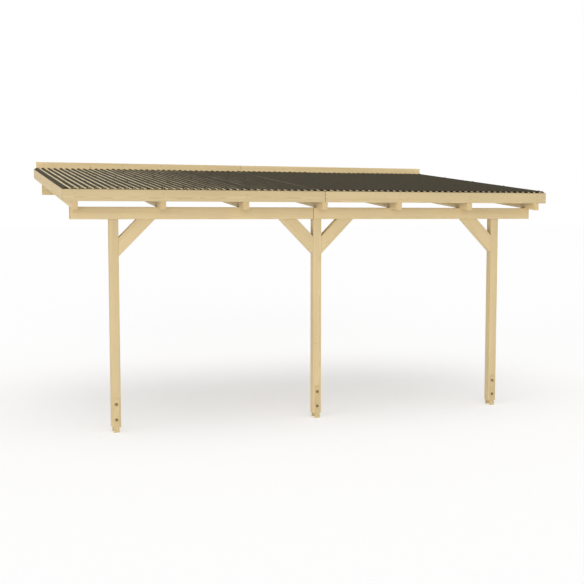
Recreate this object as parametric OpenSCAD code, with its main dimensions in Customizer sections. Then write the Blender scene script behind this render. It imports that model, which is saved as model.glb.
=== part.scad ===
// Wall-mounted timber patio cover: three posts, a front beam with knee braces, seven rafters,
// roof battens and corrugated sheets. Millimetres. X runs along the wall, Y towards the wall and
// Z up. The origin is on the wall beam's back face, at the middle of the roof's width.

/* [Roof] */
// Width of the roof over both verge boards
roof_w = 5640; // [4400:1:7000]
// Depth of the roof, from the wall to the front of the fascia
roof_depth = 3260; // [2400:1:4200]
// Pitch of the roof, in degrees
roof_pitch = 6; // [4:0.1:12]
// Height of the front beam's underside above the ground
clear_h = 2245; // [1800:1:3000]

/* [Posts and beams] */
// Side of the square posts, and depth of the beams and braces
post_w = 95; // [70:1:140]
// Height of the two beams
beam_h = 130; // [90:1:200]
// From the fascia's front face back to the front of the posts and the beam
eave_depth = 205; // [120:1:500]
// From the verge boards' outer faces to the ends of the beams and to the outer rafters
frame_inset = 98; // [60:1:200]
// From the front beam's left end to the left post
post_inset_left = 396; // [200:1:600]
// From the right post to the front beam's right end
post_inset_right = 425; // [200:1:600]

/* [Knee braces] */
// Length of a brace's outer edge along the post and along the beam
brace_leg = 386; // [250:1:600]
// Width of a brace, square to its length
brace_w = 137; // [70:1:160]

/* [Rafters and battens] */
// Thickness of a rafter
rafter_w = 55; // [40:1:90]
// Height of a rafter, square to the roof
rafter_h = 160; // [120:1:220]
// Depth of a rafter's notch at the front edge of a beam
seat_cut = 7; // [4:0.5:20]
// Length of a batten's side along the slope
batten_w = 60; // [40:1:90]
// Height of a batten, square to the roof
batten_h = 42; // [30:1:60]

/* [Boards] */
// Thickness of the fascia, verge and wall boards
board_t = 28; // [18:1:40]
// Height of the fascia and of the verge boards
fascia_h = 120; // [80:1:160]
// Height of the wall board, which stands on the rafters
wall_board_h = 135; // [110:1:220]
// Share of the wall board's length that its left piece takes
wall_board_share = 0.5; // [0.3:0.01:0.7]

/* [Roof sheets] */
// Pitch of the corrugations
wave_pitch = 76; // [60:1:130]
// Height of the corrugations, without the sheet's thickness
wave_h = 18; // [12:1:30]
// Thickness of a sheet
sheet_t = 2; // [1:0.1:4]
// Corrugations by which neighbouring sheets lap
lap_waves = 2; // [1:1:3]
// How far the sheets reach over the front of the fascia
sheet_nose = 5; // [0:1:60]
// From the last sheet's edge to the right verge board's outer face
sheet_end_gap = 16; // [0:1:20]

/* [Post anchors] */
// Width of the anchor's plates
anchor_w = 60; // [40:1:90]
// Thickness of the anchor's plates
anchor_t = 5; // [4:0.5:10]
// Height of the post's foot above the ground
anchor_gap = 55; // [30:1:150]
// How far the plates reach up over the post's foot
anchor_grip = 312; // [150:1:400]

/* [Wall fixings] */
// Diameter of the holes through the wall beams
wall_hole_d = 12; // [8:1:20]
// From the wall beams' ends to the nearest hole
wall_hole_inset = 200; // [80:1:400]

/* [Hidden] */

post_count = 3;
rafter_count = 7;
batten_count = 5;
sheet_count = 6;
wall_holes = 4;      // through each wall beam
wave_steps = 12;     // points on one corrugation
seat_gap = 0.3;      // between a sheet and what it lies on
board_gap = 2;       // between the wall board's ends and the verge boards
sheet_back_gap = 3;  // between the sheets' upper ends and the wall board
batten_end_gap = 20; // between the outer battens and the boards next to them
joint_gap = 4;       // between two timbers that meet end to end, at the front and on the wall board
cut_over = 1;        // how far a cut runs past a face

// Across the wall
left_x = -roof_w / 2;
beam_x = left_x + frame_inset;
beam_len = roof_w - 2 * frame_inset;
post_x0 = beam_x + post_inset_left;
post_step = (beam_len - post_inset_left - post_inset_right - post_w) / (post_count - 1);
joint_x = post_x0 + post_step;  // both beams are jointed at the middle post's left face
rafter_step = (beam_len - rafter_w) / (rafter_count - 1);

// From the wall to the front
fascia_y = -roof_depth;
post_y = fascia_y + eave_depth;
fascia_back_y = fascia_y + board_t;
wall_board_y = -board_t;

// Heights above the front beam's underside
slope = tan(roof_pitch);
function rafter_low(y) = beam_h - seat_cut + slope * (y - post_y);
function rafter_top(y) = rafter_low(y) + rafter_h / cos(roof_pitch);
function roof_plane(y) = rafter_top(y) + batten_h / cos(roof_pitch);
wall_beam_top = rafter_low(-post_w) + seat_cut;
wall_beam_low = wall_beam_top - beam_h;
fascia_top = roof_plane(fascia_y) - seat_gap;
ground = -clear_h;
post_foot = ground + anchor_gap;
origin_h = wall_beam_low + beam_h / 2;

// Sheets
sheet_span = roof_w - sheet_end_gap;
sheet_waves = ceil((sheet_span / wave_pitch + (sheet_count - 1) * lap_waves) / sheet_count - 0.001);
sheet_len = (roof_depth - board_t - sheet_back_gap + sheet_nose) / cos(roof_pitch);

timber = [0.82, 0.74, 0.57];
sawn_timber = [0.74, 0.64, 0.46];
roof_brown = [0.31, 0.28, 0.22];
zinc = [0.62, 0.63, 0.64];

// Moves heights over the front beam's underside into the part's own frame
module in_frame() {
    translate([0, 0, -origin_h]) children();
}

// Turns an outline of [y, z] points into a solid of the given length along X
module along_x(x, length) {
    translate([x, 0, 0])
        rotate([90, 0, 90])
            linear_extrude(height = length)
                children();
}

// Stands at the point (x, y) on the roof plane, with Y up the slope and Z square to the roof
module on_roof(x, y, height) {
    translate([x, y, height]) rotate([roof_pitch, 0, 0]) children();
}

module post(i) {
    color(timber) in_frame()
        translate([post_x0 + i * post_step, post_y, post_foot])
            cube([post_w, post_w, -post_foot]);
}

// H-shaped steel anchor: a plate on the post's front and back, and a seat under its foot
module post_anchor(i) {
    plate_h = anchor_gap + anchor_grip;
    color(zinc) in_frame()
        translate([post_x0 + i * post_step + (post_w - anchor_w) / 2, post_y, ground])
            union() {
                translate([0, -anchor_t, 0]) cube([anchor_w, anchor_t, plate_h]);
                translate([0, post_w, 0]) cube([anchor_w, anchor_t, plate_h]);
                translate([0, -anchor_t / 2, anchor_gap - anchor_t])
                    cube([anchor_w, post_w + anchor_t, anchor_t]);
            }
}

// Knee brace beside post i: side is 1 on the post's right and -1 on its left
module brace(i, side) {
    inner = brace_leg - brace_w * sqrt(2);
    face_x = post_x0 + i * post_step + (side > 0 ? post_w : 0);
    color(timber) in_frame()
        translate([face_x, post_y + post_w, 0])
            mirror([side > 0 ? 0 : 1, 0, 0])
                rotate([90, 0, 0])
                    linear_extrude(height = post_w)
                        polygon([[0, -brace_leg], [brace_leg, 0], [inner, 0], [0, -inner]]);
}

module front_beam(x, length) {
    color(timber) in_frame()
        translate([x, post_y, 0]) cube([length, post_w, beam_h]);
}

module wall_beam(x, length) {
    hole_step = (length - 2 * wall_hole_inset) / (wall_holes - 1);
    color(timber) in_frame()
        difference() {
            translate([x, -post_w, wall_beam_low]) cube([length, post_w, beam_h]);
            for (i = [0 : wall_holes - 1])
                translate([x + wall_hole_inset + i * hole_step, cut_over, origin_h])
                    rotate([90, 0, 0])
                        cylinder(h = post_w + 2 * cut_over, d = wall_hole_d, $fn = 32);
        }
}

// Rafter with a notch over each beam and a rebate for the fascia at its front end
module rafter(i) {
    color(timber) in_frame()
        difference() {
            along_x(beam_x + i * rafter_step, rafter_w)
                polygon([
                    [fascia_y, rafter_low(fascia_y)],
                    [0, rafter_low(0)],
                    [0, rafter_top(0)],
                    [fascia_back_y, rafter_top(fascia_back_y)],
                    [fascia_back_y, fascia_top - fascia_h],
                    [fascia_y, fascia_top - fascia_h]
                ]);
            translate([left_x, post_y, 0]) cube([roof_w, post_w, beam_h]);
            translate([left_x, -post_w, wall_beam_low]) cube([roof_w, post_w + cut_over, beam_h]);
        }
}

module batten(i) {
    first_y = fascia_back_y + batten_end_gap;
    last_y = wall_board_y - batten_end_gap - batten_w * cos(roof_pitch);
    y = first_y + i * (last_y - first_y) / (batten_count - 1);
    color(sawn_timber) in_frame()
        on_roof(left_x + board_t, y, rafter_top(y))
            cube([roof_w - 2 * board_t, batten_w, batten_h]);
}

module front_fascia(x, length) {
    color(timber) in_frame()
        translate([x, fascia_y, fascia_top - fascia_h]) cube([length, board_t, fascia_h]);
}

module verge_board(x) {
    drop = fascia_h / cos(roof_pitch);
    color(timber) in_frame()
        along_x(x, board_t)
            polygon([for (corner = [[fascia_back_y, drop], [0, drop], [0, 0], [fascia_back_y, 0]])
                [corner[0], roof_plane(corner[0]) - seat_gap - corner[1]]]);
}

// The wall board stands against the wall, on the rafters' back ends
module wall_board(x, length) {
    color(timber) in_frame()
        translate([x, wall_board_y, rafter_top(0)]) cube([length, board_t, wall_board_h]);
}

// Underside of a corrugation at a distance x from the left verge board
function wave(x) = wave_h / 2 * (1 - cos(360 * x / wave_pitch));

// Each second sheet lies over its neighbours at the laps
module roof_sheet(i) {
    start = i * (sheet_waves - lap_waves) * wave_pitch;
    end = min(start + sheet_waves * wave_pitch, sheet_span);
    step = wave_pitch / wave_steps;
    xs = [for (k = [0 : ceil((end - start) / step)]) min(start + k * step, end)];
    lift = seat_gap + (i % 2) * (sheet_t + seat_gap);
    last = len(xs) - 1;
    color(roof_brown) in_frame()
        on_roof(left_x, fascia_y - sheet_nose, roof_plane(fascia_y - sheet_nose))
            translate([0, sheet_len, lift])
                rotate([90, 0, 0])
                    linear_extrude(height = sheet_len)
                        polygon(concat(
                            [for (k = [0 : last]) [xs[k], wave(xs[k])]],
                            [for (k = [0 : last]) [xs[last - k], wave(xs[last - k]) + sheet_t]]
                        ));
}

fascia_len = (roof_w - joint_gap) / 2;
board_run = roof_w - 2 * (board_t + board_gap) - joint_gap;
board_x = left_x + board_t + board_gap;

module post_left() post(0);
module post_middle() post(1);
module post_right() post(2);
module post_anchor_left() post_anchor(0);
module post_anchor_middle() post_anchor(1);
module post_anchor_right() post_anchor(2);
module brace_left() brace(0, 1);
module brace_middle_left() brace(1, -1);
module brace_middle_right() brace(1, 1);
module brace_right() brace(2, -1);
module front_beam_left() front_beam(beam_x, joint_x - joint_gap / 2 - beam_x);
module front_beam_right()
    front_beam(joint_x + joint_gap / 2, beam_x + beam_len - joint_x - joint_gap / 2);
module wall_beam_left() wall_beam(beam_x, joint_x - beam_x);
module wall_beam_right() wall_beam(joint_x, beam_x + beam_len - joint_x);
module front_fascia_left() front_fascia(left_x, fascia_len);
module front_fascia_right() front_fascia(left_x + roof_w - fascia_len, fascia_len);
module verge_board_left() verge_board(left_x);
module verge_board_right() verge_board(left_x + roof_w - board_t);
module wall_board_left() wall_board(board_x, board_run * wall_board_share);
module wall_board_right()
    wall_board(board_x + board_run * wall_board_share + joint_gap, board_run * (1 - wall_board_share));

post_left();
post_middle();
post_right();
post_anchor_left();
post_anchor_middle();
post_anchor_right();
brace_left();
brace_middle_left();
brace_middle_right();
brace_right();
front_beam_left();
front_beam_right();
wall_beam_left();
wall_beam_right();
rafter(0);  // rafter_1
rafter(1);  // rafter_2
rafter(2);  // rafter_3
rafter(3);  // rafter_4
rafter(4);  // rafter_5
rafter(5);  // rafter_6
rafter(6);  // rafter_7
batten(0);  // batten_1
batten(1);  // batten_2
batten(2);  // batten_3
batten(3);  // batten_4
batten(4);  // batten_5
front_fascia_left();
front_fascia_right();
verge_board_left();
verge_board_right();
wall_board_left();
wall_board_right();
roof_sheet(0);  // roof_sheet_1
roof_sheet(1);  // roof_sheet_2
roof_sheet(2);  // roof_sheet_3
roof_sheet(3);  // roof_sheet_4
roof_sheet(4);  // roof_sheet_5
roof_sheet(5);  // roof_sheet_6
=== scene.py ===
import math
import random

import bmesh
import bpy
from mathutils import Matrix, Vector


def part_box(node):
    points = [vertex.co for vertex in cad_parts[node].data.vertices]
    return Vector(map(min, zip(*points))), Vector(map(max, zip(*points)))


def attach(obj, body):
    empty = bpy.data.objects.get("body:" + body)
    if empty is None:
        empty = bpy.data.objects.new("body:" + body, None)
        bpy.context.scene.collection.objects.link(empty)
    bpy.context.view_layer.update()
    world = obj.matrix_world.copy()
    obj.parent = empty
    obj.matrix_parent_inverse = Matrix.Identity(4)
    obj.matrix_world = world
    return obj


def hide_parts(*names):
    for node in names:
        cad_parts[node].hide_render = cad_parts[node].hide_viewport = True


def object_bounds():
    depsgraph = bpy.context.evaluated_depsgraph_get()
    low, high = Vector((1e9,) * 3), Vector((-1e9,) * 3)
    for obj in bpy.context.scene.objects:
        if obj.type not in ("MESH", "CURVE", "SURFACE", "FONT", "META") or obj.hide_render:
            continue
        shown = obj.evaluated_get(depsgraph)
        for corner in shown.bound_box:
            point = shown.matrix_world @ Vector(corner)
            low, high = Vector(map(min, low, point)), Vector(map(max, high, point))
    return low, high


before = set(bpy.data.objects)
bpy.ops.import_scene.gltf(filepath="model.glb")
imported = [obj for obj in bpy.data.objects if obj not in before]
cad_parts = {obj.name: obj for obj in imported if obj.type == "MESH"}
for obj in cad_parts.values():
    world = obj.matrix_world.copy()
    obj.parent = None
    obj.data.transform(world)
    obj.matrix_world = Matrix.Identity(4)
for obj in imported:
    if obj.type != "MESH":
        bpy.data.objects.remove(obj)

CAD_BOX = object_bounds()

# ---------------------------------------------------------------- sizes, in metres
POST_EASE = 0.004        # rounding along the edges of the posts, beams, braces and rafters
BOARD_EASE = 0.0025      # rounding along the edges of the boards and battens
STEEL_EASE = 0.0008
SHORTEST_EASED = 0.03    # a timber's shorter edges stay sharp
END_FACE = 0.68          # a face is an end if its normal is this much along the timber

WAVE_PITCH = 0.076
WAVE_H = 0.018
SHEET_T = 0.002
WAVE_STEPS = 24
SHEET_END = 0.004        # from a sheet's ends to its outer rows of vertices

PLATE_T = 0.005
PLATE_CORNER = 0.009     # radius of the anchor plates' upper corners
SEAT_RISE = 0.055        # from the ground to the top of the anchor's seat
WELD_SIZE = 0.0035
WELD_STEP = 0.0016       # between the rings of vertices along a bead
WELD_RIPPLE = 0.0048     # length of one ripple
WELD_SWELL = 0.14        # how much a ripple adds to the bead's size
WELD_END = 0.002         # from the plate's edge to the bead's end

BOLT_HEIGHTS = (0.082, 0.247)    # over the post's foot
BOLT_D = 0.012
HEX_ACROSS = 0.019
HEX_H = 0.0075
WASHER_D = 0.034
WASHER_T = 0.003
THREAD_OUT = 0.009               # how far a bolt's end stands out of its nut
THREAD_STEP = 0.0009             # half the thread's pitch
THREAD_DEPTH = 0.0007
BOLT_TURN = (0.3, 0.5)           # turn of the lower bolt's hexagon, and what the upper one adds

SCREW_HEAD_D = 0.0095
SCREW_POINTS = 24                # vertices round a head
STAR_TIP, STAR_WAIST = 0.52, 0.36        # the recess, in shares of the head's radius
FASCIA_SCREW_EDGE = 0.04         # from a fascia's edges to its screws
FASCIA_SCREW_END = 0.014         # least distance from its end
RAFTER_REACH = 0.03              # a rafter this far past a fascia's end still takes its screws
WALL_SCREW_EDGE = 0.028
WALL_SCREW_END = 0.1
WALL_SCREW_SPACING = 0.6
BRACE_SCREW_EDGE = 0.03
BRACE_SCREW_SHARES = (0.13, 0.87)        # along the brace's slanted side

CAP_OUTLINE = (                  # (radius, height) of a roof screw's cap
    (0.0095, 0.0), (0.0095, 0.0016), (0.0084, 0.0030),
    (0.0058, 0.0038), (0.0052, 0.0058), (0.0040, 0.0066),
)
CAP_SUNK = 0.0012
CAP_EVERY = 3                    # crests from one cap to the next

TIMBER_NODES = {
    "post": [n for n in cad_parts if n.startswith("post_") and "anchor" not in n],
    "brace": [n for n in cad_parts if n.startswith("brace_")],
    "beam": [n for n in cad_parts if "_beam_" in n],
    "rafter": [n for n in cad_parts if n.startswith("rafter_")],
    "batten": [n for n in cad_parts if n.startswith("batten_")],
    "fascia": [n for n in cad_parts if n.startswith("front_fascia_")],
    "verge": [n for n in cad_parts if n.startswith("verge_board_")],
    "wall_board": [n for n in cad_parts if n.startswith("wall_board_")],
}
ANCHORS = sorted(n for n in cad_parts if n.startswith("post_anchor_"))
SHEETS = sorted(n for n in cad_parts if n.startswith("roof_sheet_"))


def middle(node):
    low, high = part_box(node)
    return (low + high) / 2


def roof_pitch():
    """The roof's pitch, from the first and last batten."""
    across = middle("batten_5") - middle("batten_1")
    return math.atan2(across.z, across.y)


PITCH = roof_pitch()
UP_SLOPE = Vector((0, math.cos(PITCH), math.sin(PITCH)))
ROOF_NORMAL = Vector((0, -math.sin(PITCH), math.cos(PITCH)))
GROUND = CAD_BOX[0].z

FLOOR_GREY = 0.86
FLOOR_GLOW = 0.42        # the floor throws this much soft light up under the roof
FLOOR_REACH = 200
SKY_STRENGTH = 0.42
SUNS = (                 # name, direction it shines from, strength, spread in degrees
    ("front", (-0.25, -0.95, 0.12), 0.95, 35),
    ("left", (-0.88, -0.45, 0.09), 0.75, 30),
    ("top", (-0.1, -0.2, 1.0), 0.55, 60),
)

CAMERA_PLACE = (-3.913, -13.184, -0.345)         # fitted to the photo
CAMERA_DOWN, CAMERA_RIGHT = math.radians(4.46), math.radians(19.55)
CAMERA_LENS, CAMERA_SENSOR = 59.8, 36


# ---------------------------------------------------------------- node graphs
def linear(r, g, b):
    """An sRGB colour, 0 to 255, as the linear colour that a socket takes."""
    def one(v):
        v /= 255
        return v / 12.92 if v <= 0.04045 else ((v + 0.055) / 1.055) ** 2.4
    return (one(r), one(g), one(b), 1.0)


class Graph:
    """Short calls for a material's nodes. Each call returns an output socket."""

    def __init__(self, name):
        self.material = bpy.data.materials.new(name)
        self.material.use_nodes = True
        self.tree = self.material.node_tree
        self.tree.nodes.clear()

    def add(self, kind, **settings):
        node = self.tree.nodes.new(kind)
        for key, value in settings.items():
            setattr(node, key, value)
        return node

    def feed(self, socket, value):
        if isinstance(value, bpy.types.NodeSocket):
            self.tree.links.new(value, socket)
        else:
            socket.default_value = value

    def math(self, operation, a, b=0.0):
        node = self.add("ShaderNodeMath", operation=operation)
        self.feed(node.inputs[0], a)
        self.feed(node.inputs[1], b)
        return node.outputs[0]

    def vector(self, operation, a, b=(0, 0, 0)):
        node = self.add("ShaderNodeVectorMath", operation=operation)
        self.feed(node.inputs[0], a)
        self.feed(node.inputs[1], b)
        return node.outputs["Value" if operation == "LENGTH" else "Vector"]

    def attribute(self, name, output="Vector"):
        return self.add("ShaderNodeAttribute", attribute_name=name).outputs[output]

    def noise(self, where, scale=1.0, detail=2.0, roughness=0.5):
        node = self.add("ShaderNodeTexNoise")
        self.feed(node.inputs["Vector"], where)
        node.inputs["Scale"].default_value = scale
        node.inputs["Detail"].default_value = detail
        node.inputs["Roughness"].default_value = roughness
        return node.outputs["Fac"]

    def voronoi(self, where, scale=1.0, output="Distance"):
        node = self.add("ShaderNodeTexVoronoi")
        self.feed(node.inputs["Vector"], where)
        node.inputs["Scale"].default_value = scale
        return node.outputs[output]

    def remap(self, value, low, high, to_low=0.0, to_high=1.0, smooth=True):
        kind = "SMOOTHSTEP" if smooth else "LINEAR"
        node = self.add("ShaderNodeMapRange", interpolation_type=kind)
        self.feed(node.inputs["Value"], value)
        limits = {"From Min": low, "From Max": high, "To Min": to_low, "To Max": to_high}
        for key, number in limits.items():
            node.inputs[key].default_value = number
        return node.outputs["Result"]

    def mix(self, factor, a, b):
        node = self.add("ShaderNodeMix", data_type="RGBA")
        self.feed(node.inputs["Factor"], factor)
        self.feed(node.inputs[6], a)
        self.feed(node.inputs[7], b)
        return node.outputs[2]

    def scale_colour(self, colour, factor):
        if isinstance(colour, tuple):
            colour = colour[:3]
        return self.vector("MULTIPLY", colour, self.combine(factor, factor, factor))

    def combine(self, x, y, z):
        node = self.add("ShaderNodeCombineXYZ")
        for socket, value in zip(node.inputs, (x, y, z)):
            self.feed(socket, value)
        return node.outputs[0]

    def separate(self, where):
        node = self.add("ShaderNodeSeparateXYZ")
        self.feed(node.inputs[0], where)
        return node.outputs

    def bump(self, height, distance, strength=1.0):
        node = self.add("ShaderNodeBump")
        node.inputs["Strength"].default_value = strength
        node.inputs["Distance"].default_value = distance
        self.feed(node.inputs["Height"], height)
        return node.outputs[0]

    def surface(self, colour, roughness, normal=None, **settings):
        shader = self.add("ShaderNodeBsdfPrincipled")
        self.feed(shader.inputs["Base Color"], colour)
        self.feed(shader.inputs["Roughness"], roughness)
        if normal is not None:
            self.feed(shader.inputs["Normal"], normal)
        for key, value in settings.items():
            shader.inputs[key.replace("_", " ")].default_value = value
        output = self.add("ShaderNodeOutputMaterial")
        self.tree.links.new(shader.outputs[0], output.inputs[0])
        return self.material


def stretched_noise(g, place, stretch, **settings):
    """Noise that is drawn out along the timber: stretch holds its frequency per axis."""
    return g.noise(g.vector("MULTIPLY", place, stretch), **settings)


def growth_rings(g, grain, bend=0.0):
    """The distance from a pith line that wanders along the timber, and the place in a ring."""
    _, across, deep = g.separate(grain)
    drift = stretched_noise(g, grain, (0.9, 5.0, 5.0))
    fine_drift = stretched_noise(g, grain, (3.0, 16.0, 16.0))
    radius = g.vector("LENGTH", g.combine(0.0, across, deep))
    shift = g.math("ADD", g.math("MULTIPLY", fine_drift, FINE_DRIFT_RINGS),
                   g.math("MULTIPLY", bend, KNOT_BEND_RINGS))
    shift = g.math("ADD", g.math("MULTIPLY", drift, DRIFT_RINGS), shift)
    phase = g.math("ADD", g.math("MULTIPLY", radius, RINGS_PER_METRE), shift)
    return radius, g.math("FRACT", phase)


def wood(name, light, dark, knot, rough=0.62, sawn=0.0):
    """Softwood. The vector attribute grain has the timber's length as X, and tone shades it."""
    g = Graph(name)
    grain = g.attribute("grain")

    # Knots: round, a few to the metre, with the rings bent round them
    cell = KNOT_CELL
    spread = g.vector("MULTIPLY", grain, cell)
    point = g.voronoi(spread, output="Position")
    to_knot = g.vector("DIVIDE", g.vector("SUBTRACT", spread, point), cell)
    wobble = g.noise(grain, scale=90.0, detail=2.0)
    reach = g.vector("LENGTH", g.vector("MULTIPLY", to_knot, KNOT_SHAPE))
    reach = g.math("ADD", reach, g.math("MULTIPLY", g.math("SUBTRACT", wobble, 0.5), KNOT_WOBBLE))
    bend = g.remap(reach, 0.006, 0.05, 1.0, 0.0)
    knot_mask = g.remap(reach, 0.0065, 0.0095, 1.0, 0.0)
    knot_rim = g.math("MULTIPLY", g.remap(reach, 0.005, 0.009),
                      g.remap(reach, 0.009, 0.013, 1.0, 0.0))

    # Late wood: each ring darkens slowly and ends sharply
    _, ring = growth_rings(g, grain, bend)
    late = g.math("MULTIPLY", g.remap(ring, 0.35, 0.9), g.remap(ring, 0.93, 1.0, 1.0, 0.0))

    # Fibres and slow changes of tone
    fibre = stretched_noise(g, grain, (5.0, 420.0, 420.0), detail=3.0, roughness=0.6)
    streak = stretched_noise(g, grain, (0.7, 22.0, 22.0))
    cloud = stretched_noise(g, grain, (1.5, 3.0, 3.0))

    colour = g.mix(g.math("MULTIPLY", late, 0.42), light, dark)
    colour = g.mix(g.remap(streak, 0.45, 0.8, 0.0, 0.30), colour, dark)
    colour = g.mix(g.math("MULTIPLY", knot_rim, 0.35), colour, dark)
    colour = g.mix(g.math("MULTIPLY", knot_mask, 0.38), colour, knot)
    # The tone attribute carries painted light and shade for the fascia, rafters and wall board.
    tone = g.math("MULTIPLY", g.attribute("tone", "Fac"),
                  g.remap(fibre, 0.25, 0.75, 0.965, 1.03, smooth=False))
    tone = g.math("MULTIPLY", tone, g.remap(cloud, 0.3, 0.7, 0.97, 1.03, smooth=False))
    colour = g.scale_colour(colour, tone)

    along = g.separate(grain)[0]
    saw_marks = g.math("SINE", g.math("MULTIPLY", along, 2 * math.pi / SAW_MARK_PITCH))
    height = g.math("ADD", g.math("MULTIPLY", late, 0.35), g.math("MULTIPLY", fibre, 0.6))
    height = g.math("ADD", height, g.math("MULTIPLY", saw_marks, sawn))
    height = g.math("SUBTRACT", height, g.math("MULTIPLY", knot_rim, 0.6))
    roughness = g.remap(fibre, 0.2, 0.8, rough - 0.06, rough + 0.08, smooth=False)
    relief = g.bump(height, WOOD_RELIEF, 0.55)
    return g.surface(colour, roughness, relief, Specular_IOR_Level=0.35)


def end_grain(name, light, dark):
    """The cut end of a timber: rings, rays, splits darkened with painted shade, and a little more
    shade.
    """
    g = Graph(name)
    grain = g.attribute("grain")
    _, across, deep = g.separate(grain)
    radius, ring = growth_rings(g, grain)
    late = g.math("MULTIPLY", g.remap(ring, 0.3, 0.85), g.remap(ring, 0.9, 1.0, 1.0, 0.0))
    pores = stretched_noise(g, grain, (30.0, 900.0, 900.0))
    turn = g.math("MULTIPLY", g.math("ARCTAN2", across, deep), 14.0)
    check = g.noise(g.combine(turn, g.math("MULTIPLY", radius, 9.0), 0.0), detail=1.0)
    split = g.remap(check, 0.70, 0.74)
    colour = g.mix(g.math("MULTIPLY", late, 0.6), light, dark)
    # Painted shade darkens the splits.
    colour = g.mix(g.math("MULTIPLY", split, 0.5), colour, SPLIT_PAINTED_SHADE)
    # The tone attribute carries painted light and shade for the fascia, rafters and wall board.
    tone = g.math("MULTIPLY", g.attribute("tone", "Fac"),
                  g.remap(pores, 0.3, 0.7, 0.9, 1.03, smooth=False))
    colour = g.scale_colour(colour, tone)
    height = g.math("ADD", g.math("MULTIPLY", late, 0.5), pores)
    height = g.math("SUBTRACT", height, g.math("MULTIPLY", split, 1.5))
    relief = g.bump(height, END_GRAIN_RELIEF, 0.6)
    return g.surface(colour, 0.78, relief, Specular_IOR_Level=0.25)


def corrugated_sheet(name, sheet_brown, valley):
    """Matt fibre sheet, dark over its crests, with a painted highlight: a pale band along each
    valley's top side.
    """
    g = Graph(name)
    # X in waves from the roof's left edge, Y in metres up the slope, Z is 1 on the top side
    waves, along, top_side = g.separate(g.attribute("sheet"))
    wander = g.noise(g.combine(waves, g.math("MULTIPLY", along, 1.4), 0.0), detail=3.0)
    phase = g.math("ADD", waves, g.math("MULTIPLY", g.math("SUBTRACT", wander, 0.5), HIGHLIGHT_BAND_WANDER))
    from_valley = g.math("SUBTRACT", g.math("FRACT", g.math("ADD", phase, 0.5)), 0.5)
    # The pale band below is a painted highlight, laid along each valley's top side.
    highlight_band = g.math("MULTIPLY", g.remap(from_valley, *HIGHLIGHT_BAND_START),
                  g.remap(from_valley, *HIGHLIGHT_BAND_END, 1.0, 0.0))
    highlight_band = g.math("MULTIPLY", highlight_band, g.remap(waves, 0.4, 0.6))    # none beside the left verge board
    across = g.math("MULTIPLY", waves, 11.0)
    fibre = g.noise(g.combine(across, g.math("MULTIPLY", along, 5.0), 0.0), detail=3.0)
    metres = g.math("MULTIPLY", waves, WAVE_PITCH)
    speck = g.noise(g.combine(metres, along, 0.0), scale=420.0)
    highlight_band = g.math("MULTIPLY", g.math("MULTIPLY", highlight_band, g.remap(fibre, 0.2, 0.5, 0.84, 1.0)),
                  g.remap(top_side, 0.93, 0.99))
    base = g.mix(highlight_band, sheet_brown, valley)
    base = g.scale_colour(base, g.remap(speck, 0.3, 0.7, 0.93, 1.05, smooth=False))
    base = g.scale_colour(base, g.remap(fibre, 0.3, 0.7, 0.95, 1.04, smooth=False))
    relief = g.math("ADD", g.math("MULTIPLY", fibre, 0.6), g.math("MULTIPLY", speck, 0.4))
    rough = g.remap(speck, 0.3, 0.7, 0.78, 0.9, smooth=False)
    return g.surface(base, rough, g.bump(relief, SHEET_RELIEF, 0.5), Specular_IOR_Level=0.12)


def zinc(name, colour, rough=0.42):
    """Passivated zinc over steel: soft spangle, fine scratches and duller patches."""
    g = Graph(name)
    place = g.attribute("grain")
    spangle = g.voronoi(place, scale=160.0, output="Color")
    patch = g.noise(place, scale=22.0, detail=3.0)
    scratch = stretched_noise(g, place, (60.0, 1500.0, 1500.0))
    tone = g.math("ADD", g.remap(patch, 0.3, 0.7, 0.86, 1.0, smooth=False),
                  g.math("MULTIPLY", g.separate(spangle)[0], 0.08))
    base = g.scale_colour(colour, tone)
    roughness = g.remap(patch, 0.3, 0.7, rough + 0.1, rough - 0.05, smooth=False)
    return g.surface(base, roughness, g.bump(scratch, STEEL_RELIEF, 0.25), Metallic=0.85)


# Painted light and shade: brightness of some timbers against that of the rest, darker for the
# well-lit fascia, brighter for the shaded rafters and wall board
FASCIA_PAINTED_SHADE = 0.92
RAFTER_PAINTED_LIGHT = 1.12
WALL_BOARD_PAINTED_LIGHT = 1.34

RINGS_PER_METRE = 210.0
DRIFT_RINGS = 9.0        # by how many rings the pith's wandering shifts them
FINE_DRIFT_RINGS = 1.6
KNOT_BEND_RINGS = 2.6    # and by how many a knot does
KNOT_CELL = (1.1, 7.0, 7.0)      # cells per metre, with one knot to a cell
KNOT_SHAPE = (0.75, 1.0, 1.0)    # below 1 draws a knot out along that axis
KNOT_WOBBLE = 0.006
SAW_MARK_PITCH = 0.0042
WOOD_RELIEF = 0.0006
END_GRAIN_RELIEF = 0.0007
SHEET_RELIEF = 0.0008
STEEL_RELIEF = 0.0002
# The pale band on the roof sheet's valleys is a painted highlight.
HIGHLIGHT_BAND_START = (-0.09, 0.0)        # the pale band's edges, in waves from the valley
HIGHLIGHT_BAND_END = (0.135, 0.24)
HIGHLIGHT_BAND_WANDER = 0.10

KNOT_WOOD = linear(128, 84, 44)
# The split colour is painted shade inside the end grain's checks.
SPLIT_PAINTED_SHADE = linear(96, 72, 44)
CAP_BROWN = linear(70, 62, 48)
PLANED = wood("planed_softwood", linear(220, 199, 154), linear(192, 162, 112), KNOT_WOOD)
SAWN = wood("sawn_softwood", linear(208, 184, 138), linear(176, 144, 96), KNOT_WOOD,
            rough=0.72, sawn=0.5)
END_GRAIN = end_grain("softwood_end_grain", linear(214, 190, 144), linear(172, 138, 88))
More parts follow.
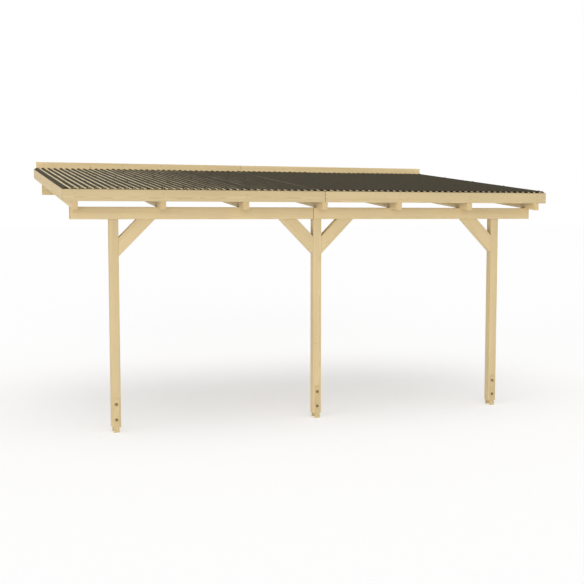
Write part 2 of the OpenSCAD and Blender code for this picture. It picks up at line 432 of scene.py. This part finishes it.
# The sheet's pale second colour is its painted highlight.
BROWN_SHEET = corrugated_sheet("brown_corrugated_sheet", linear(73, 66, 51),
                               linear(252, 236, 194))
PLATE_ZINC = zinc("passivated_zinc_plate", linear(206, 186, 142))
BOLT_ZINC = zinc("zinc_bolt", linear(138, 120, 88), rough=0.36)
SCREW_STEEL = zinc("screw_steel", linear(158, 142, 108), rough=0.34)
CAP_PLASTIC = corrugated_sheet("brown_screw_cap", CAP_BROWN, CAP_BROWN)


# ---------------------------------------------------------------- meshes
def add_piece(name, bm, materials, node=None, angle=30):
    """Turns a bmesh into a piece that rides on the frame, sharp where faces meet past angle."""
    mesh = bpy.data.meshes.new(name)
    bm.to_mesh(mesh)
    bm.free()
    for material in materials:
        mesh.materials.append(material)
    mesh.shade_smooth()
    mesh.set_sharp_from_angle(angle=math.radians(angle))
    piece = bpy.data.objects.new(name, mesh)
    bpy.context.scene.collection.objects.link(piece)
    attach(piece, "root")
    if node:
        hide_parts(node)
    return piece


def set_vectors(mesh, name, vectors):
    layer = mesh.attributes.new(name, "FLOAT_VECTOR", "POINT")
    layer.data.foreach_set("vector", [value for vector in vectors for value in vector])


def set_grain(piece, direction, seed, tone=1.0):
    """Stores each vertex's place along and across the timber, and a tone for the whole of it."""
    dice = random.Random(seed)
    along = Vector(direction).normalized()
    side = along.cross(Vector((0, 1, 0) if abs(along.y) < 0.7 else (1, 0, 0))).normalized()
    deep = along.cross(side)
    mesh = piece.data
    centre = sum((v.co for v in mesh.vertices), Vector()) / len(mesh.vertices)
    pith = Vector((dice.uniform(0, 40), dice.uniform(0.02, 0.07), dice.uniform(-0.09, -0.03)))
    offsets = [v.co - centre for v in mesh.vertices]
    set_vectors(mesh, "grain", [
        Vector((offset.dot(along), offset.dot(side), offset.dot(deep))) + pith
        for offset in offsets])
    # tone holds a random tone, times any painted light and shade handed in for some timbers.
    layer = mesh.attributes.new("tone", "FLOAT", "POINT")
    layer.data.foreach_set("value", [tone * dice.uniform(0.96, 1.03)] * len(mesh.vertices))


def ease_edges(bm, ease, shortest):
    """Rounds the edges that are sharper than 25 degrees and longer than shortest."""
    sharp = [e for e in bm.edges
             if len(e.link_faces) == 2
             and e.calc_face_angle(0) > math.radians(25)
             and e.calc_length() > shortest]
    bmesh.ops.bevel(bm, geom=sharp, offset=ease, segments=3, profile=0.5, affect="EDGES",
                    clamp_overlap=True)


def clean_copy(node):
    """The CAD node's mesh without the edges that split its flat faces."""
    bm = bmesh.new()
    bm.from_mesh(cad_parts[node].data)
    bmesh.ops.remove_doubles(bm, verts=bm.verts, dist=1e-5)
    bmesh.ops.dissolve_limit(bm, angle_limit=math.radians(0.5), verts=bm.verts, edges=bm.edges)
    return bm


def lean(node):
    """1 for a brace that rises to the right, -1 for one that rises to the left."""
    return 1 if node in ("brace_left", "brace_middle_right") else -1


def timber(node, direction, ease, material, tone=1.0):
    """One timber, with rounded edges, and end grain on its cut ends."""
    bm = clean_copy(node)
    ease_edges(bm, ease, SHORTEST_EASED)
    along = Vector(direction).normalized()
    bm.normal_update()
    for face in bm.faces:
        face.material_index = 1 if abs(face.normal.dot(along)) > END_FACE else 0
    piece = add_piece(node + "_timber", bm, (material, END_GRAIN), node)
    set_grain(piece, direction, node, tone)


def build_timbers():
    along_x, upright = Vector((1, 0, 0)), Vector((0, 0, 1))
    # The rafters' tone is painted light.
    for kind, direction, tone in (("post", upright, 1.0), ("beam", along_x, 1.0),
                                  ("rafter", UP_SLOPE, RAFTER_PAINTED_LIGHT)):
        for node in TIMBER_NODES[kind]:
            timber(node, direction, POST_EASE, PLANED, tone)
    for node in TIMBER_NODES["brace"]:
        timber(node, Vector((lean(node), 0, 1)), POST_EASE, PLANED)
    for node in TIMBER_NODES["batten"]:
        timber(node, along_x, BOARD_EASE, SAWN)
    # The fascia's tone is painted shade, and the wall board's is painted light.
    for kind, direction, tone in (("fascia", along_x, FASCIA_PAINTED_SHADE),
                                  ("wall_board", along_x, WALL_BOARD_PAINTED_LIGHT),
                                  ("verge", UP_SLOPE, 1.0)):
        for node in TIMBER_NODES[kind]:
            timber(node, direction, BOARD_EASE, PLANED, tone)


def wave(x):
    """Height of a corrugation's underside at a distance x from the left edge of the roof."""
    return WAVE_H / 2 * (1 - math.cos(2 * math.pi * x / WAVE_PITCH))


def sheet_eave(node):
    """The lower end of a sheet's underside, in its valleys, as a point with X = 0."""
    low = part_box(node)[0]
    return Vector((0, low.y + (WAVE_H + SHEET_T) * math.sin(PITCH), low.z))


def build_sheet(node, left):
    """A corrugated sheet with a finer profile than the CAD node's, in the same place."""
    low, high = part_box(node)
    eave = sheet_eave(node)
    length = (high.y - eave.y) / math.cos(PITCH)
    count = round((high.x - low.x) / WAVE_PITCH * WAVE_STEPS)
    xs = [low.x + (high.x - low.x) * k / count for k in range(count + 1)]
    rows = (0.0, SHEET_END, length / 3, 2 * length / 3, length - SHEET_END, length)

    def point(x, rise, along):
        lift = ROOF_NORMAL * (wave(x - left) + rise)
        return Vector((x, 0, 0)) + eave + UP_SLOPE * along + lift

    bm = bmesh.new()
    under, top = [[[bm.verts.new(point(x, rise, along)) for x in xs] for along in rows]
                  for rise in (0.0, SHEET_T)]
    for r in range(len(rows) - 1):
        for k in range(count):
            bm.faces.new((top[r][k], top[r][k + 1], top[r + 1][k + 1], top[r + 1][k]))
            bm.faces.new((under[r][k], under[r + 1][k], under[r + 1][k + 1], under[r][k + 1]))
    for k in range(count):
        bm.faces.new((under[0][k], under[0][k + 1], top[0][k + 1], top[0][k]))
        bm.faces.new((under[-1][k], top[-1][k], top[-1][k + 1], under[-1][k + 1]))
    for r in range(len(rows) - 1):
        bm.faces.new((under[r][0], top[r][0], top[r + 1][0], under[r + 1][0]))
        bm.faces.new((under[r][-1], under[r + 1][-1], top[r + 1][-1], top[r][-1]))
    piece = add_piece(node + "_sheet", bm, (BROWN_SHEET,), node, angle=35)
    set_vectors(piece.data, "sheet", [
        ((x - left) / WAVE_PITCH, along, top_side)
        for top_side in (0.0, 1.0) for along in rows for x in xs])


def build_sheets():
    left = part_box(SHEETS[0])[0].x
    for node in SHEETS:
        build_sheet(node, left)


def skin(bm, rings):
    """A closed solid through rings of vertices, with a face over the first and the last."""
    count = len(rings[0])
    for low, high in zip(rings, rings[1:]):
        for k in range(count):
            bm.faces.new((low[k], low[(k + 1) % count], high[(k + 1) % count], high[k]))
    bm.faces.new(rings[0][::-1])
    bm.faces.new(rings[-1])


def ring_verts(bm, centre, axis, side, radius, count, turn=0.0):
    up = axis.cross(side)
    return [bm.verts.new(centre + radius * (side * math.cos(a) + up * math.sin(a)))
            for a in (turn + 2 * math.pi * k / count for k in range(count))]


def lathe(bm, base, axis, side, outline, count, turn=0.0):
    """A turned or hexagonal solid: outline holds (radius, height) pairs, from foot to top."""
    skin(bm, [ring_verts(bm, base + axis * height, axis, side, radius, count, turn)
              for radius, height in outline])


def hex_outline(across, height):
    radius = across / math.sqrt(3)
    return ((radius * 0.96, 0.0), (radius, 0.0006),
            (radius, height - 0.0014), (radius * 0.9, height))


def washer(bm, base, axis, side):
    radius, edge = WASHER_D / 2, 0.0006
    outline = ((radius, 0.0), (radius, WASHER_T - edge), (radius - edge, WASHER_T))
    lathe(bm, base, axis, side, outline, 32)


def anchor_bolts():
    """Two bolts through each anchor: head and washer in front, washer, nut and thread behind."""
    side = Vector((1, 0, 0))
    radius = BOLT_D / 2
    thread = [(radius - THREAD_DEPTH * (k % 2), THREAD_STEP * k)
              for k in range(round(THREAD_OUT / THREAD_STEP))] + [(radius * 0.8, THREAD_OUT)]
    for anchor in ANCHORS:
        name = anchor.replace("post_anchor_", "")
        low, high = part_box(anchor)
        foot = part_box("post_" + name)[0].z
        bm = bmesh.new()
        for number, height in enumerate(BOLT_HEIGHTS):
            turn = BOLT_TURN[0] + BOLT_TURN[1] * number
            for y, axis in ((low.y, Vector((0, -1, 0))), (high.y, Vector((0, 1, 0)))):
                base = Vector(((low.x + high.x) / 2, y, foot + height))
                washer(bm, base, axis, side)
                seat = base + axis * WASHER_T
                lathe(bm, seat, axis, side, hex_outline(HEX_ACROSS, HEX_H), 6, turn)
            nut_top = seat + axis * HEX_H        # of the nut behind, the last one built
            lathe(bm, nut_top, axis, side, thread, 20)
        piece = add_piece(f"anchor_bolts_{name}", bm, (BOLT_ZINC,))
        set_grain(piece, (0, 1, 0), name)


def build_anchors():
    """Post anchors with rounded plate corners, and a weld bead along both sides of the seat."""
    for anchor in ANCHORS:
        low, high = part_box(anchor)
        bm = clean_copy(anchor)
        corners = [e for e in bm.edges
                   if min(v.co.z for v in e.verts) > high.z - 0.001
                   and abs((e.verts[0].co - e.verts[1].co).normalized().y) > 0.9]
        bmesh.ops.bevel(bm, geom=corners, offset=PLATE_CORNER, segments=5, profile=0.5,
                        affect="EDGES")
        ease_edges(bm, STEEL_EASE, 0.003)
        for y, inward in ((low.y + PLATE_T, 1), (high.y - PLATE_T, -1)):
            start = Vector((low.x + WELD_END, y, low.z + SEAT_RISE - PLATE_T))
            weld(bm, start, high.x - low.x - 2 * WELD_END, inward)
        piece = add_piece(anchor + "_steel", bm, (PLATE_ZINC,), anchor)
        set_grain(piece, (0, 0, 1), anchor)


def weld(bm, start, length, inward):
    """A rippled fillet bead along X, under the seat, in the corner against a plate."""
    steps = round(length / WELD_STEP)
    rings = []
    for k in range(steps + 1):
        size = WELD_SIZE * (1 + WELD_SWELL * math.sin(2 * math.pi * k * WELD_STEP / WELD_RIPPLE))
        corner = Vector((start.x + length * k / steps, start.y, start.z))
        arc = [corner + size * Vector((0, inward * math.cos(a), -math.sin(a)))
               for a in (0, math.pi / 6, math.pi / 3, math.pi / 2)]
        rings.append([bm.verts.new(place) for place in arc + [corner]])
    skin(bm, rings)


def screw(bm, base, axis, side):
    """A countersunk head, flush with the timber, with a six-pointed recess."""
    radius = SCREW_HEAD_D / 2
    up = axis.cross(side)
    angles = [2 * math.pi * k / SCREW_POINTS for k in range(SCREW_POINTS)]

    def ring(height, share, star=False):
        """A ring of vertices, round or six-pointed, at a share of the head's radius."""
        verts = []
        for k, a in enumerate(angles):
            reach = radius * share
            if star:
                reach *= STAR_TIP if k % 4 < 2 else STAR_WAIST
            place = base + axis * height + reach * (side * math.cos(a) + up * math.sin(a))
            verts.append(bm.verts.new(place))
        return verts

    skin(bm, [ring(-0.002, 0.9), ring(0.0002, 1.0), ring(0.0005, 0.86),
              ring(0.0005, 1.0, star=True), ring(-0.0015, 0.9, star=True)])


def screws(name, places, axis, side):
    bm = bmesh.new()
    for place in places:
        screw(bm, Vector(place), Vector(axis).normalized(), Vector(side))
    piece = add_piece(name, bm, (SCREW_STEEL,))
    set_grain(piece, axis, name)


def board_screws():
    """Screws where the boards are held: at the rafters, the batten ends and the wall."""
    rafters = [middle(node).x for node in TIMBER_NODES["rafter"]]
    for node in TIMBER_NODES["fascia"]:
        low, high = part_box(node)
        xs = [min(max(x, low.x + FASCIA_SCREW_END), high.x - FASCIA_SCREW_END)
              for x in rafters if low.x - RAFTER_REACH < x < high.x + RAFTER_REACH]
        places = [(x, low.y, z) for x in xs
                  for z in (low.z + FASCIA_SCREW_EDGE, high.z - FASCIA_SCREW_EDGE)]
        screws(node + "_screws", places, (0, -1, 0), (1, 0, 0))
    for node in TIMBER_NODES["verge"]:
        low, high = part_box(node)
        outward = -1 if middle(node).x < 0 else 1
        x = low.x if outward < 0 else high.x
        places = [(x, middle(batten).y, middle(batten).z) for batten in TIMBER_NODES["batten"]]
        screws(node + "_screws", places, (outward, 0, 0), (0, 0, 1))
    for node in TIMBER_NODES["wall_board"]:
        low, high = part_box(node)
        count = round((high.x - low.x) / WALL_SCREW_SPACING)
        step = (high.x - low.x - 2 * WALL_SCREW_END) / count
        places = [(low.x + WALL_SCREW_END + k * step, low.y, high.z - WALL_SCREW_EDGE)
                  for k in range(count + 1)]
        screws(node + "_screws", places, (0, -1, 0), (1, 0, 0))


def brace_screws():
    """Two screws near each end of a brace, through its long slanted side."""
    for node in TIMBER_NODES["brace"]:
        low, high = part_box(node)
        foot = Vector((low.x if lean(node) > 0 else high.x, 0, low.z))
        head = Vector((high.x if lean(node) > 0 else low.x, 0, high.z))
        places = [foot.lerp(head, share) + Vector((0, y, 0))
                  for share in BRACE_SCREW_SHARES
                  for y in (low.y + BRACE_SCREW_EDGE, high.y - BRACE_SCREW_EDGE)]
        screws(node + "_screws", places, (lean(node), 0, -1), (0, 1, 0))


def sheet_caps():
    """Sealing caps of the roof screws, on every third crest over each batten."""
    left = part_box(SHEETS[0])[0].x
    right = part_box(SHEETS[-1])[1].x
    crests = int((right - left) / WAVE_PITCH)
    eave = sheet_eave(SHEETS[0])
    lifted = [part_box(node) for node in SHEETS[1::2]]
    lift = (lifted[0][0].z - eave.z) / math.cos(PITCH)
    bm = bmesh.new()
    for batten in TIMBER_NODES["batten"]:
        along = (middle(batten).y - eave.y) / math.cos(PITCH)
        for k in range(1, crests, CAP_EVERY):
            x = left + (k + 0.5) * WAVE_PITCH
            rise = WAVE_H + SHEET_T - CAP_SUNK
            if any(low.x < x < high.x for low, high in lifted):
                rise += lift
            base = eave + Vector((x, 0, 0)) + UP_SLOPE * along + ROOF_NORMAL * rise
            lathe(bm, base, ROOF_NORMAL, Vector((1, 0, 0)), CAP_OUTLINE, 16)
    piece = add_piece("roof_screw_caps", bm, (CAP_PLASTIC,))
    set_vectors(piece.data, "sheet", [v.co for v in piece.data.vertices])


# ---------------------------------------------------------------- stage, light and camera
def build_floor():
    """A pale ground that glows a little, and that the camera sees through from below."""
    g = Graph("pale_floor")
    path = g.add("ShaderNodeLightPath")
    diffuse = g.add("ShaderNodeBsdfDiffuse")
    diffuse.inputs["Color"].default_value = (FLOOR_GREY, FLOOR_GREY, FLOOR_GREY, 1)
    glow = g.add("ShaderNodeEmission")
    glow.inputs["Color"].default_value = (1, 1, 1, 1)
    glow.inputs["Strength"].default_value = FLOOR_GLOW
    both = g.add("ShaderNodeAddShader")
    g.tree.links.new(diffuse.outputs[0], both.inputs[0])
    g.tree.links.new(glow.outputs[0], both.inputs[1])
    from_below = g.math("MULTIPLY", g.add("ShaderNodeNewGeometry").outputs["Backfacing"],
                        path.outputs["Is Camera Ray"])
    seen_through = g.add("ShaderNodeMixShader")
    g.feed(seen_through.inputs[0], from_below)
    g.tree.links.new(both.outputs[0], seen_through.inputs[1])
    g.tree.links.new(g.add("ShaderNodeBsdfTransparent").outputs[0], seen_through.inputs[2])
    output = g.add("ShaderNodeOutputMaterial")
    g.tree.links.new(seen_through.outputs[0], output.inputs[0])
    bm = bmesh.new()
    bmesh.ops.create_grid(bm, x_segments=1, y_segments=1, size=FLOOR_REACH)
    mesh = bpy.data.meshes.new("floor")
    bm.to_mesh(mesh)
    bm.free()
    mesh.materials.append(g.material)
    floor = bpy.data.objects.new("floor", mesh)
    floor.location = (0, 0, GROUND)
    bpy.context.scene.collection.objects.link(floor)


def build_world(strength):
    """A white sky, which lights the scene with less than the white that shows."""
    world = bpy.data.worlds.new("studio")
    bpy.context.scene.world = world
    world.use_nodes = True
    tree = world.node_tree
    tree.nodes.clear()
    path = tree.nodes.new("ShaderNodeLightPath")
    sky, white = (tree.nodes.new("ShaderNodeBackground") for _ in range(2))
    for background in (sky, white):
        background.inputs["Color"].default_value = (1, 1, 1, 1)
    sky.inputs["Strength"].default_value = strength
    seen = path.outputs["Is Camera Ray"]
    for ray in ("Is Glossy Ray", "Is Transmission Ray"):
        either = tree.nodes.new("ShaderNodeMath")
        either.operation = "MAXIMUM"
        tree.links.new(seen, either.inputs[0])
        tree.links.new(path.outputs[ray], either.inputs[1])
        seen = either.outputs[0]
    mix = tree.nodes.new("ShaderNodeMixShader")
    tree.links.new(seen, mix.inputs[0])
    tree.links.new(sky.outputs[0], mix.inputs[1])
    tree.links.new(white.outputs[0], mix.inputs[2])
    output = tree.nodes.new("ShaderNodeOutputWorld")
    tree.links.new(mix.outputs[0], output.inputs[0])


def sun(name, towards, strength, spread):
    """A soft sun that shines from the direction towards."""
    lamp = bpy.data.lights.new(name, "SUN")
    lamp.energy = strength
    lamp.angle = math.radians(spread)
    holder = bpy.data.objects.new(name, lamp)
    holder.rotation_euler = Vector(towards).to_track_quat("Z", "Y").to_euler()
    bpy.context.scene.collection.objects.link(holder)


def build_camera():
    data = bpy.data.cameras.new("camera")
    data.lens = CAMERA_LENS
    data.sensor_width = CAMERA_SENSOR
    data.clip_end = 500
    holder = bpy.data.objects.new("camera", data)
    holder.location = CAMERA_PLACE
    holder.rotation_euler = (math.pi / 2 - CAMERA_DOWN, 0, -CAMERA_RIGHT)
    bpy.context.scene.collection.objects.link(holder)
    bpy.context.scene.camera = holder


build_camera()
build_timbers()
build_sheets()
build_anchors()
anchor_bolts()
board_screws()
brace_screws()
sheet_caps()
build_floor()
build_world(SKY_STRENGTH)
for settings in SUNS:
    sun(*settings)

bpy.context.scene.view_settings.view_transform = "Standard"
